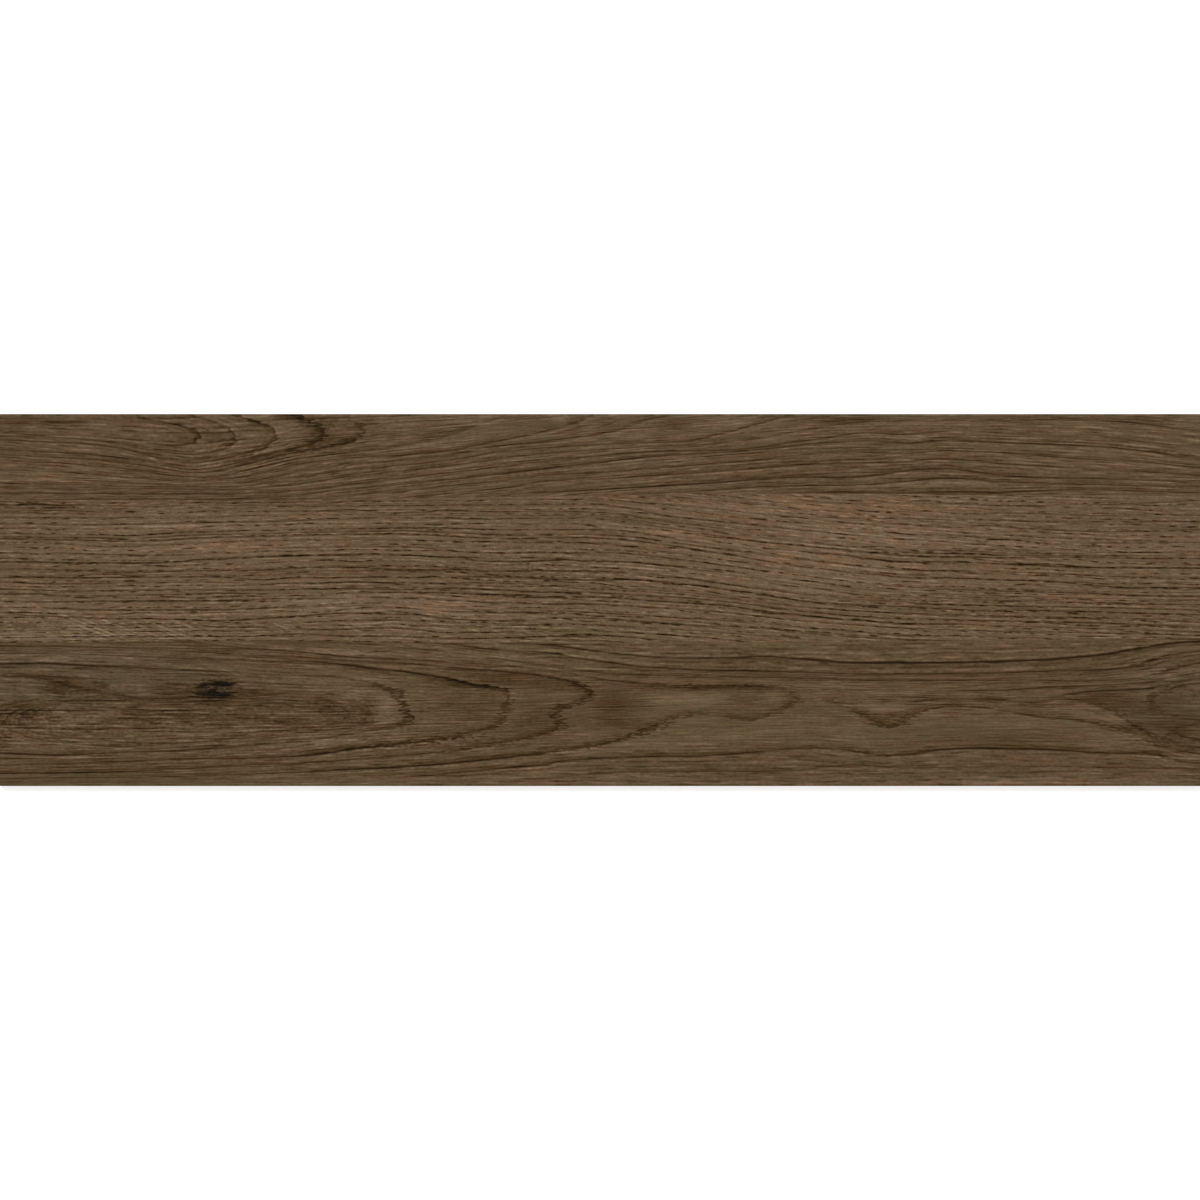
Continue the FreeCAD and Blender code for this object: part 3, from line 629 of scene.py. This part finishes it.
def face_relief(figure, x, y):
    """Depth of the emboss in metres: a groove 1 mm to each side of a ring line, and fibre noise everywhere.

    The grooves break into dashes on the middle stave, and all of it fades out towards the rim.
    """
    below_upper, below_middle, _ = figure["joint"]
    in_middle, in_lower = below_upper > 0, below_middle > 0
    ring, fibre = (by_stave(in_middle, in_lower, figure[name]) for name in ("ring", "grain"))
    darkness, spacing, _ = figure["mark"]
    off_line = np.abs(ring - np.round(ring)) * spacing
    groove = np.clip(darkness, 0, 1.3) * (1 - step_up(off_line, 0.1, 1.0))
    broken = 0.5 + 0.5 * lattice_noise(x / 14, np.round(ring) * 5.3, 23)
    fibres = 0.5 + 0.5 * lattice_noise(x / 30, fibre / 1.3, 41)
    depth = RING_GROOVE * groove * np.where(in_middle & ~in_lower, broken, 1) + FIBRE_GROOVE * fibres
    half_height = HALF_WIDTH / MM / PIXEL
    from_edge = np.minimum(MIDDLE - np.abs(x - MIDDLE), half_height - np.abs(y - MIDDLE)) * PIXEL
    return depth * step_up(from_edge, 0.6, 2.6) * MM


def face_stations():
    """The printed face inside its arris: columns along the plank and rows across it, evenly spaced."""
    along = np.linspace(-HALF_LENGTH + CORNER, HALF_LENGTH - CORNER, COLUMNS + 1)
    across = np.linspace(-HALF_WIDTH + CORNER, HALF_WIDTH - CORNER, ROWS + 1)
    return np.meshgrid(along, across, indexing="ij")


def loop_round(columns, rows):
    """Index of each vertex round a grid, once round from above against the clock, side by side."""
    index = np.arange((columns + 1) * (rows + 1)).reshape(columns + 1, rows + 1)
    return [index[-1, :], index[::-1, -1], index[0, ::-1], index[:, 0]]


def key_stations(half, count, pitch):
    """Breaks of the back along one direction, and at each how far it is up a wall, from 0 to 1."""
    field = half - SETBACK - BORDER
    start = -field + RIB + pitch * np.arange(count)
    end = start + pitch - RIB
    breaks = np.stack([start, start + SPREAD, end - SPREAD, end], 1).ravel()
    pocket = np.tile([0.0, 1.0, 1.0, 0.0], count)
    breaks = np.concatenate([[-field - SPREAD, -field], breaks, [field, field + SPREAD]])
    pocket = np.concatenate([[0, 0], pocket, [0, 0]])
    outside = np.zeros(len(breaks))
    outside[[0, -1]] = 1
    return breaks, pocket, outside


def keyed_back(first):
    """The pressed back as a grid: the border's height outside the ribs, and the lesser wall in a pocket.

    Its vertices are numbered from first, and the diagonal of a quad follows the corner of a wall.
    """
    sides = []
    for half in (HALF_LENGTH, HALF_WIDTH):
        span = 2 * (half - SETBACK - BORDER) - RIB
        count = round(span / POCKET_PITCH)
        sides.append(key_stations(half, count, span / count))
    (x, pocket_x, out_x), (y, pocket_y, out_y) = sides
    outside = np.maximum(out_x[:, None], out_y[None])
    up = np.maximum(outside, np.minimum(pocket_x[:, None], pocket_y[None]))
    along, across = np.meshgrid(x, y, indexing="ij")
    points = np.stack([along, across, KEY_HEIGHT * up], -1).reshape(-1, 3)
    index = first + np.arange(len(points)).reshape(len(x), len(y))
    a, b, c, d = index[:-1, :-1], index[:-1, 1:], index[1:, 1:], index[1:, :-1]
    odd = (up[:-1, :-1] != up[:-1, 1:]) & (up[:-1, :-1] != up[1:, :-1])
    odd = odd | ((up[1:, 1:] != up[:-1, 1:]) & (up[1:, 1:] != up[1:, :-1]))
    main = np.stack([np.stack([a, b, c], -1), np.stack([a, c, d], -1)], 2)
    other = np.stack([np.stack([a, b, d], -1), np.stack([b, c, d], -1)], 2)
    faces = np.where(odd[..., None, None], main, other).reshape(-1, 3)
    loops = [first + side for side in loop_round(len(x) - 1, len(y) - 1)]
    return points, faces, loops


def zip_sides(dense, sparse, dense_place, sparse_place):
    """Triangles between two rows of vertices: each step of a row joins the nearest vertex of the other."""
    middles = (dense_place[1:] + dense_place[:-1]) / 2
    turns = (sparse_place[1:] + sparse_place[:-1]) / 2
    nearest = np.searchsorted(turns, middles)
    fans = np.stack([dense[:-1], sparse[nearest], dense[1:]], 1)
    reach = np.searchsorted(middles, turns)
    steps = np.stack([sparse[:-1], sparse[1:], dense[reach]], 1)
    return np.concatenate([fans, steps])


def face_outline():
    """Vertices round the rim of the face, the way out from each, and where each of the four sides starts.

    The vertex at a corner comes four times, with its way out turned by 30 degrees more each time.
    """
    rim, turn = [], []
    starts = [0]
    for side, loop in enumerate(loop_round(COLUMNS, ROWS)):
        rim.append(np.concatenate([loop, loop[-1:], loop[-1:]]))
        turn.append(np.concatenate([np.full(len(loop), side * 90.0), [side * 90.0 + 30, side * 90.0 + 60]]))
        starts.append(starts[-1] + len(loop) + 2)
    turn = np.radians(np.concatenate(turn))
    return np.concatenate(rim), np.stack([np.cos(turn), np.sin(turn)], 1), starts


def edge_profile():
    """Rings of the edge from the face down: a quarter turn of the arris, the joint band, then the draft.

    Each has how far it is set in, its corner radius and its height.
    """
    turns = [math.radians(degrees) for degrees in (0, 30, 60, 90)]
    lean = CORNER - ARRIS
    arris = [(0, lean + ARRIS * math.sin(turn), THICKNESS - ARRIS * (1 - math.cos(turn))) for turn in turns]
    return arris + [(0, CORNER, BAND_BOTTOM), (SETBACK, CORNER, KEY_HEIGHT)]


def plank_mesh():
    """The whole plank as one closed surface: face grid, a profile carried round it, and the keyed back.

    A ring of the profile is the face's outline pushed out by a radius, with quarter turns at its corners.
    After the points, quads and triangles come each face's finish, 0 for the print and 1 for the plain
    body, then the figure of the face, and the face vertex whose figure each vertex takes.
    """
    along, across = face_stations()
    right, down = MIDDLE + along / MM / PIXEL, MIDDLE - across / MM / PIXEL
    figure = wood_figure(right, down)
    face = np.stack([along, across, THICKNESS - face_relief(figure, right, down)], -1).reshape(-1, 3)
    index = np.arange(len(face)).reshape(along.shape)
    quads = [np.stack([index[:-1, :-1], index[1:, :-1], index[1:, 1:], index[:-1, 1:]], -1).reshape(-1, 4)]
    rim, out, starts = face_outline()
    inner = np.array([HALF_LENGTH - CORNER, HALF_WIDTH - CORNER])
    points = [face]
    taken_from = [np.arange(len(face))]
    last = rim
    count = len(face)
    triangles = []
    finishes = [np.zeros(len(quads[0]), int)]
    for inset, radius, height in edge_profile():
        spots = face[rim, :2] * (inner - inset) / inner + out * radius
        points.append(np.concatenate([spots, np.full((len(spots), 1), height)], 1))
        taken_from.append(rim)
        ring = count + np.arange(len(rim))
        count += len(rim)
        strip = np.stack([last, ring, np.roll(ring, -1), np.roll(last, -1)], 1)
        closed = strip[:, 0] == strip[:, 3]
        quads.append(strip[~closed])
        finishes.append(np.full((~closed).sum(), int(inset > 0)))
        triangles.append(strip[closed][:, :3])
        last = ring
    corner_fans = len(triangles[0])
    back, back_faces, back_loops = keyed_back(count)
    points = np.concatenate([*points, back])
    taken_from = np.concatenate([*taken_from, np.zeros(len(back), int)])
    for side, sparse in enumerate(back_loops):
        dense = np.concatenate([last, last[:1]])[starts[side]:starts[side + 1] + 1]
        axis, sign = ((1, 1), (0, -1), (1, -1), (0, 1))[side]
        triangles.append(zip_sides(dense, sparse, sign * points[dense, axis], sign * points[sparse, axis]))
    triangles = np.concatenate([*triangles, back_faces])
    plain_faces = np.ones(len(triangles) - corner_fans, int)
    finishes = np.concatenate([*finishes, np.zeros(corner_fans, int), plain_faces])
    return points, np.concatenate(quads), triangles, finishes, figure, taken_from


class Shade:
    """A number all over a surface: Python's operators on it add the shader's Math nodes."""

    def __init__(self, nodes, socket):
        self.nodes = nodes
        self.socket = socket

    def math(self, operation, *terms):
        """One Math node on this number and others."""
        return self.nodes.add("ShaderNodeMath", {"operation": operation}, dict(enumerate((self, *terms))))

    def __add__(self, other):
        return self.math("ADD", other)

    def __sub__(self, other):
        return self.math("SUBTRACT", other)

    def __rsub__(self, other):
        return self.math("MULTIPLY_ADD", -1.0, other)

    def __mul__(self, other):
        return self.math("MULTIPLY", other)

    def __truediv__(self, other):
        return self.math("DIVIDE", other)

    def __neg__(self):
        return self.math("MULTIPLY", -1.0)

    def __abs__(self):
        return self.math("ABSOLUTE")

    __radd__ = __add__
    __rmul__ = __mul__

    def above(self, limit):
        """1 where the number is above a limit, else 0."""
        return self.math("GREATER_THAN", limit)

    def whole(self):
        """The whole number below."""
        return self.math("FLOOR")

    def part(self):
        """What is over the whole number below."""
        return self.math("FRACT")

    def rise(self, low, high):
        """Smooth step from 0 at low to 1 at high."""
        inputs = {"Value": self, "From Min": low, "From Max": high}
        return self.nodes.add("ShaderNodeMapRange", {"interpolation_type": "SMOOTHSTEP"}, inputs)


class Nodes:
    """The nodes of a material or of the sky, and the shader among them that the others feed."""

    def __init__(self, owner, shader):
        owner.use_nodes = True
        self.tree = owner.node_tree
        self.shader = self.tree.nodes[shader]

    def add(self, kind, settings=None, inputs=None, output=0):
        """Adds a node: its settings first, then values or links for its sockets; gives one output back."""
        made = self.tree.nodes.new(kind)
        for name, value in (settings or {}).items():
            if name == "stops":
                self.set_stops(made.color_ramp.elements, value)
            else:
                setattr(made, name, value)
        for name, value in (inputs or {}).items():
            if isinstance(value, Shade):
                self.tree.links.new(value.socket, made.inputs[name])
            else:
                made.inputs[name].default_value = value
        return Shade(self, made.outputs[output])

    @staticmethod
    def set_stops(elements, stops):
        """Sets a ramp's stops from pairs of place and colour."""
        while len(elements) < len(stops):
            elements.new(0.5)
        for element, (place, colour) in zip(elements, stops):
            element.position = place
            element.color = colour

    def feed(self, name, value):
        """Sets a socket of the shader, or links a number or colour that varies to it."""
        if isinstance(value, Shade):
            self.tree.links.new(value.socket, self.shader.inputs[name])
        else:
            self.shader.inputs[name].default_value = value


class Finish(Nodes):
    """One material, with the few ways in which this plank's shaders are put together."""

    def __init__(self, name, roughness, specular):
        self.material = bpy.data.materials.new(name)
        super().__init__(self.material, "Principled BSDF")
        self.feed("Roughness", roughness)
        self.feed("Specular IOR Level", specular)

    def parts(self, vector):
        """The three numbers of a vector."""
        return [self.add("ShaderNodeSeparateXYZ", None, {0: vector}, output) for output in range(3)]

    def read(self, name):
        """The three numbers of a mesh attribute."""
        return self.parts(self.add("ShaderNodeAttribute", {"attribute_name": name}, None, "Vector"))

    def place(self):
        """Where a point is on the plank, in millimetres."""
        spot = self.add("ShaderNodeTexCoord", None, None, "Object")
        inputs = {0: spot, "Scale": 1 / MM}
        return self.parts(self.add("ShaderNodeVectorMath", {"operation": "SCALE"}, inputs))

    def noise(self, u, v, w=0.0, detail=1.0):
        """Noise about 0, mostly from -1 to 1, with cells one unit wide. w also sets one noise apart."""
        spot = self.add("ShaderNodeCombineXYZ", None, {0: u, 1: v, 2: w})
        inputs = {"Vector": spot, "Scale": 1.0, "Detail": detail, "Roughness": 0.5}
        return (self.add("ShaderNodeTexNoise", None, inputs) - 0.5) * 4.0

    def strokes(self, x, v, pitch, length, width, seed):
        """Fine lines in rows a pitch apart: each row wanders a little and breaks into tapered strokes."""
        row = v / pitch
        number = row.whole()
        wander = self.noise(x / (4.0 * length), number * 5.7, seed, 0.0)
        drawn = (0.55 + 0.6 * self.noise(x / length, number * 7.3, seed + 2.0)).rise(0.2, 1.0)
        off_line = abs(row.part() - 0.5 + 0.2 * wander) * pitch
        return drawn * (1.0 - (off_line / (width * (0.5 + 0.5 * drawn))).rise(0.1, 1.0))

    def blot(self, spot, middle, half, ragged):
        """A ragged oval: 1 in its middle and 0 outside. The middle is in pixels, the rest in millimetres."""
        along = (spot[0] - (middle[0] - MIDDLE) * PIXEL) / half[0]
        across = (spot[1] - (MIDDLE - middle[1]) * PIXEL) / half[1]
        return 1.0 - ((along * along + across * across).math("SQRT") + ragged).rise(0.35, 1.0)

    def mix(self, share, first, second, blend="MIX"):
        """Blend of two colours."""
        sockets = {0: share, 6: first, 7: second}
        return self.add("ShaderNodeMix", {"data_type": "RGBA", "blend_type": blend}, sockets, 2)

    def bump(self, strength, height):
        """Bumps the surface by a height in millimetres."""
        inputs = {"Strength": strength, "Distance": MM, "Height": height}
        self.feed("Normal", self.add("ShaderNodeBump", None, inputs))


def colour(red, green, blue):
    """A screen colour from 0 to 255 as the linear colour that a shader takes."""
    scaled = [c / 255 for c in (red, green, blue)]
    return [c / 12.92 if c <= 0.04045 else ((c + 0.055) / 1.055) ** 2.4 for c in scaled] + [1.0]


def body_colour(finish):
    """Colour of the unglazed body: pale grey beige with fine dark and light grains and faint clouds."""
    x, y, z = finish.place()
    grains = finish.noise(x / 0.5, y / 0.5, z / 0.5, 2.0)
    clouds = finish.noise(x / 14, y / 14, z / 3)
    tone = 0.5 + 0.07 * grains + 0.06 * clouds
    stops = [(0.0, colour(120, 106, 90)), (0.42, colour(168, 152, 133)), (1.0, colour(206, 192, 174))]
    return finish.add("ShaderNodeValToRGB", {"stops": stops}, {0: tone}), grains


def knot(wood, spot):
    """The knot of the lower stave: a dark hollow, black strands in it, and crumbly grey flecks between."""
    x, y = spot
    crumb = wood.noise(x / 3.0, y / 0.8, 97.0, 2.0)
    hollow = wood.blot(spot, (217, 689), (15.0, 7.0), 0.3 * crumb)
    strand = 0.0
    for middle, half, ragged, black in KNOT_STRANDS:
        strand = (wood.blot(spot, middle, half, ragged * crumb) * black).math("MAXIMUM", strand)
    fleck = wood.noise(x / 1.3, y / 0.7, 107.0).rise(0.0, 0.7)
    return hollow, strand, fleck * wood.blot(spot, (217, 689), (10.0, 2.8), 0.2 * crumb)


def wood_colour(wood, level, hue):
    """Colour of the print: a brown by its level, multiplied towards red or olive by its hue."""
    stops = [((place - DARKEST) / LEVEL_RANGE, colour(*shade)) for place, shade in BROWNS]
    brown = wood.add("ShaderNodeValToRGB", {"stops": stops}, {0: (level - DARKEST) / LEVEL_RANGE})
    redder = wood.mix(hue.rise(0.0, 1.6), brown, (1.15, 0.965, 0.86, 1.0), "MULTIPLY")
    return wood.mix((-hue).rise(0.0, 1.6), redder, (0.92, 1.02, 0.8, 1.0), "MULTIPLY")


def printed_face():
    """The wood print under a matt glaze, down to its uneven lower edge on the side of the plank."""
    wood = Finish("matt_wood_print", 0.5, 0.06)
    x, y, z = wood.place()
    ring_upper, ring_middle, ring_lower = wood.read("ring")
    grain_upper, grain_middle, grain_lower = wood.read("grain")
    darkness, spacing, ragged = wood.read("mark")
    patch, warm, crossing = wood.read("tint")
    below_upper, below_middle, stroke = wood.read("joint")
    is_middle = below_upper.above(0.0)
    is_lower = below_middle.above(0.0)
    only_middle = is_middle - is_lower
    beside = 1.0 - only_middle

    def stave(upper, middle, lower):
        """A number that has its own value on each stave."""
        return upper + only_middle * (middle - upper) + is_lower * (lower - upper)

    # One grain height and one ring number for all staves, so that each pattern is made once. A stave's
    # are set far apart from the last stave's, so that no two staves show the same
    grains_apart, rings_apart = 200.0, 50.0
    grain = grain_upper + is_middle * (grain_middle + grains_apart - grain_upper)
    grain = grain + is_lower * (grain_lower + grains_apart - grain_middle)
    ring = ring_upper + is_middle * (ring_middle + rings_apart - ring_upper)
    ring = ring + is_lower * (ring_lower + rings_apart - ring_middle)

    # Fibres: long faint streaks, short specks, and thin dark and pale strokes in rows, shorter on the
    # middle stave
    run = x * (1.0 + 0.7 * only_middle)
    bend = grain + 0.2 * wood.noise(x / 16, grain / 5.0, 3.0, 0.0)
    long_streak = wood.noise(x / 45, bend / 2.6)
    streak = wood.noise(run / 15, bend / 1.0, 5.0)
    speck = wood.noise(run / 2.0, bend / 0.85, 9.0, 0.0)
    clouds = wood.noise(x / 55, grain / 9, 13.0)
    hair = wood.strokes(run, bend, 1.45, 12.0, 0.5, 17.0)
    pale_hair = wood.strokes(run, bend + 0.6, 1.9, 10.0, 0.55, 27.0)
    dash = wood.strokes(run, bend + 0.3, 2.6, 8.0, 0.6, 37.0)
    dash = dash * (0.8 + 0.7 * wood.noise(x / 22, grain / 5.5, 42.0)).rise(0.0, 1.2)

    # Ring lines, thin and dark. A ragged one is wider and softer and has teeth along the fibres, and those
    # of the middle stave break into dashes
    jitter = wood.noise(x / 4.6, grain / 1.1, 47.0)
    toothed = ring + 0.5 + (0.12 + 3.2 * ragged) * jitter / spacing
    nearest = (toothed.part() - 0.5) * spacing
    broken = wood.noise(x / 4.6, toothed.whole() * 5.3, 57.0, 2.0)
    width = 0.44 + 0.27 * darkness + 1.0 * ragged
    weight = (0.85 + 0.25 * streak + 0.2 * speck + only_middle * 0.75 * broken).math("MAXIMUM", 0.0)
    weight = weight * darkness * (1.0 - 0.5 * ragged)
    line = (1.0 - (abs(nearest) / width).rise(0.0, 1.0)) * (1.0 + 1.2 * ragged)
    line = line.math("MINIMUM", 1.0) * weight

    # Beside a line are a soft shade, more to one side, and a pale edge on the other, partly pale print and
    # partly a painted highlight, as if the emboss caught the lamp. Two fainter lines come before the next
    # ring.
    # The middle stave has none of these
    shaded = (spacing * 0.12).math("MINIMUM", 1.0)
    shade = darkness * (1.0 - (abs(nearest - shaded) / (1.8 + width)).rise(0.0, 1.0)) * beside
    shade = shade * (1.0 + 0.8 * ragged)
    pale_edge_and_highlight = (1.0 - abs(nearest + 1.35).rise(0.1, 0.8)) * weight * beside
    third = ring * 3.0 + 0.5
    drawn = (0.45 + 0.7 * wood.noise(x / 16, third.whole() * 3.3, 67.0)).rise(0.1, 1.0)
    off_third = abs((third.part() - 0.5) * spacing / 3.0 + (0.08 + 0.8 * ragged) * jitter)
    faint = (1.0 - (off_third / (0.5 + 0.5 * ragged)).rise(0.0, 1.0)) * drawn * beside
    faint = faint * spacing.rise(1.5, 3.0) * (1.0 - spacing.rise(8.0, 20.0)) * darkness.rise(0.0, 0.6)

    # Level of the red of the print, on a scale to 255: fibres, patches, then ring lines
    fibres = pale_hair * stave(25.0, 27.0, 21.0) - hair * stave(25.0, 15.0, 22.0)
    fibres = fibres - dash * stave(13.0, 64.0, 11.0)
    fibres = fibres + streak * stave(6.0, 4.5, 6.0) + speck * stave(6.0, 6.5, 6.0)
    level = stave(99.3, 105.6, 94.4) + long_streak * stave(4.0, 4.0, 6.0) + clouds * 2.0 + fibres * stroke
    level = level + crossing * 28.0 * wood.strokes(x, y + 0.38 * x, 1.9, 16.0, 0.85, 77.0)
    level = level + patch * (1.3 + 0.5 * long_streak + 0.2 * streak)
    level = level - line * stave(28.0, 45.0, 28.0) - shade * 9.5
    # The pale edge adds a painted highlight beside each ring line, on top of its pale print
    level = level + pale_edge_and_highlight * (7.0 + 5.0 * ragged) - faint * 19.0
    hollow, strand, fleck = knot(wood, (x, y))
    level = level - hollow * 30.0 - strand * 46.0 + fleck * (1.0 - 0.6 * strand) * 36.0

    # Colour of the print, greyer in two places of the lower stave, and of the knot
    hue = warm * (0.85 + 0.4 * long_streak) + 0.12 * only_middle + 0.5 * clouds
    hue = hue + 1.1 * wood.noise(x / 11, grain / 2.6, 87.0, 2.0)
    greyer = wood.blot((x, y), (80, 678), (90.0, 20.0), 0.15 * long_streak)
    greyer = greyer + wood.blot((x, y), (1165, 705), (36.0, 26.0), 0.15 * long_streak)
    printed = wood_colour(wood, level, hue)
    printed = wood.mix(greyer * is_lower, printed, (0.965, 1.0, 1.085, 1.0), "MULTIPLY")
    printed = wood.mix((0.3 * hollow + 0.4 * strand).math("MINIMUM", 1.0), printed, colour(15, 8, 0))
    printed = wood.mix(fleck * (1.0 - strand) * 0.75, printed, colour(88, 79, 63))

    # The glaze ends about 6 mm above the bed, and the body shows below it
    body, _ = body_colour(wood)
    glazed = (z + 0.22 * wood.noise(x / 3.0, y / 3.0, 117.0, 2.0)).rise(5.9, 6.15)
    wood.feed("Base Color", wood.mix(glazed, body, printed))
    wood.feed("Roughness", 0.62 - 0.12 * glazed + 0.03 * streak)

    # Fine emboss, too small for the mesh: fibres stand up and ring lines sink
    wood.bump(0.8, (0.02 * streak - 0.05 * line) * glazed)
    return wood.material


def plain_body():
    """The unglazed back: body colour, a white kiln wash rolled on the rib tops, and darker deep in its
    pockets.
    """
    clay = Finish("unglazed_body", 0.75, 0.3)
    x, y, z = clay.place()
    body, grains = body_colour(clay)
    rub = clay.noise(x / 18, y / 3.0, 3.0, 2.0)
    wash = (1.0 - z.rise(0.03, 0.3)) * (0.45 + 0.45 * rub + 0.25 * grains).rise(0.1, 0.8)
    washed = clay.mix(wash * 0.7, body, colour(226, 220, 210))
    # Darker in noisy patches towards the deep end of the pockets
    deep = z.rise(0.55, 0.8) * (0.5 + 0.5 * clay.noise(x / 9, y / 9, 7.0, 2.0)).rise(0.0, 1.0)
    clay.feed("Base Color", clay.mix(deep * 0.25, washed, colour(132, 118, 102)))
    clay.feed("Roughness", 0.78 + 0.05 * rub)
    clay.bump(0.6, 0.03 * grains)
    return clay.material


def make_plank():
    """Puts the plank's surface, its figure and its two finishes into one piece."""
    points, quads, triangles, finishes, figure, taken_from = plank_mesh()
    mesh = bpy.data.meshes.new("plank")
    mesh.from_pydata(points.tolist(), [], quads.tolist() + triangles.tolist())
    for name in figure:
        field = np.stack([part.ravel() for part in figure[name]], 1)[taken_from]
        attribute = mesh.attributes.new(name, "FLOAT_VECTOR", "POINT")
        attribute.data.foreach_set("vector", field.astype(np.float32).ravel())
    mesh.materials.append(printed_face())
    mesh.materials.append(plain_body())
    mesh.polygons.foreach_set("material_index", finishes.astype(np.int32))
    mesh.polygons.foreach_set("use_smooth", np.ones(len(finishes), bool))
    mesh.set_sharp_from_angle(angle=math.radians(28))
    mesh.update()
    piece = bpy.data.objects.new("plank", mesh)
    bpy.context.scene.collection.objects.link(piece)
    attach(piece, "root")
    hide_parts("plank_tile")


def set_floor():
    """A plain white floor: its own colour under the lamp, and lifted for the camera to read as white."""
    half = 4.0
    corners = [(-half, -half, 0), (half, -half, 0), (half, half, 0), (-half, half, 0)]
    mesh = bpy.data.meshes.new("floor")
    mesh.from_pydata(corners, [], [(0, 1, 2, 3)])
    white = Finish("white_floor", 0.9, 0.1)
    white.feed("Base Color", (0.9, 0.9, 0.9, 1.0))
    white.feed("Emission Strength", 1.0)
    seen = white.add("ShaderNodeLightPath", None, None, "Is Camera Ray")
    mirrored = white.add("ShaderNodeLightPath", None, None, "Is Glossy Ray")
    lift = (seen + mirrored).math("MINIMUM", 1.0)
    white.feed("Emission Color", white.mix(lift, (0, 0, 0, 1), (0.6, 0.6, 0.6, 1)))
    mesh.materials.append(white.material)
    floor = bpy.data.objects.new("floor", mesh)
    bpy.context.scene.collection.objects.link(floor)


def set_light():
    """An even sky, white to the camera and dimmer as a light, and a broad soft lamp beyond the far edge."""
    world = bpy.data.worlds.new("sky")
    bpy.context.scene.world = world
    sky = Nodes(world, "Background")
    sky.feed("Color", (1, 1, 1, 1))
    sky.feed("Strength", 0.4 + 0.6 * sky.add("ShaderNodeLightPath", None, None, "Is Camera Ray"))
    lamp = bpy.data.lights.new("soft_lamp", "SUN")
    lamp.energy = 1.95
    lamp.angle = math.radians(25)
    holder = bpy.data.objects.new("soft_lamp", lamp)
    holder.rotation_euler = (math.radians(-27), math.radians(-9), 0)
    bpy.context.scene.collection.objects.link(holder)


def set_camera():
    """A long lens straight above, from where the plank fills the width of the view and runs just past it."""
    lens = bpy.data.cameras.new("camera")
    lens.sensor_width = 36
    lens.lens = 300
    half_view = lens.sensor_width / 2 / lens.lens
    past = 0.7 * MM
    camera = bpy.data.objects.new("camera", lens)
    camera.location = (0, 0, THICKNESS + (HALF_LENGTH - past) / half_view)
    lens.clip_end = 50
    bpy.context.scene.collection.objects.link(camera)
    bpy.context.scene.camera = camera


make_plank()
set_floor()
set_light()
set_camera()
bpy.context.scene.view_settings.view_transform = "Standard"
